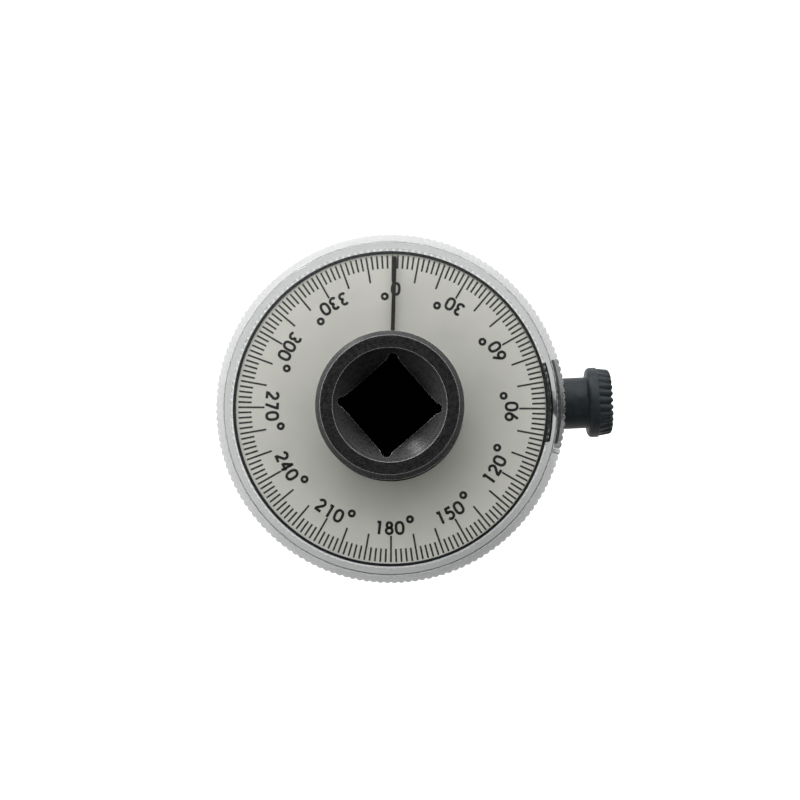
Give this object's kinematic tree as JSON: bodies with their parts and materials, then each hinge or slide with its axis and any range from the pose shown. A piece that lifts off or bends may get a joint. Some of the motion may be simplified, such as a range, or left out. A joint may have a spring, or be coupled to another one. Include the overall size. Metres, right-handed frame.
{
  "type": "torque angle gauge",
  "caption": "Square drive spindle turning inside a round degree dial under a clear knurled cover with a pointer line, with a cross-bored block and thumb screw for a holding arm.",
  "frame": {"origin": "centre of the male square's end face, on the spindle's axis", "axes": "+Z along the spindle's axis, out of the female square; +X along the clamp screw, towards its knob"},
  "size_m": [0.0714, 0.062, 0.0465],
  "materials": {
    "black_oxide_steel": "black oxide, fine turned",
    "bright_steel": "zinc plated",
    "spring_steel": "phosphated",
    "bronze": "plain bearing bronze",
    "black_plastic": "moulded, satin",
    "clear_plastic": "clear, polished",
    "index_ink": "filled line",
    "dial_white": "pale printed plate",
    "friction_rubber": "matt",
    "spacer_plastic": "nylon"
  },
  "bodies": {
    "spindle": {"drive_spindle": "black_oxide_steel", "detent_spring": "spring_steel", "retaining_ring": "spring_steel", "spring_washer": "spring_steel", "thrust_washer": "bright_steel", "spacer_washer": "spacer_plastic", "friction_washer": "friction_rubber"},
    "detent": {"detent_ball": "bright_steel"},
    "dial_base": {"base_plate": "black_plastic", "base_bush": "bronze", "dial_plate": "dial_white", "arm_block": "black_oxide_steel", "block_screws": "bright_steel"},
    "index": {"index_cover": "clear_plastic", "index_line": "index_ink"},
    "clamp": {"clamp_stud": "bright_steel"},
    "knob": {"thumb_knob": "black_plastic"}
  },
  "joints": [
    {"name": "detent_press", "type": "slide", "parent": "spindle", "child": "detent", "axis": [-0.7826, -0.6225, 0], "range_m": [0, 0.0009], "stiffness_N_per_m": 2000, "springref_m": -0.0005, "deforming": ["detent_spring"]},
    {"name": "dial_turn", "type": "hinge", "parent": "spindle", "child": "dial_base", "pos_m": [0, 0, 0.027], "axis": [0, 0, 1], "continuous": true},
    {"name": "index_turn", "type": "hinge", "parent": "spindle", "child": "index", "pos_m": [0, 0, 0.0375], "axis": [0, 0, 1], "continuous": true},
    {"name": "clamp_feed", "type": "slide", "parent": "dial_base", "child": "clamp", "axis": [1, 0, 0], "range_m": [-0.001, 0.0032]},
    {"name": "knob_turn", "type": "hinge", "parent": "clamp", "child": "knob", "pos_m": [0.035, 0, 0.02545], "axis": [1, 0, 0], "range_deg": [-450, 1440]}
  ],
  "couplings": [
    {"joint": "knob_turn", "follows": "clamp_feed", "rad_per_m": 7854}
  ]
}
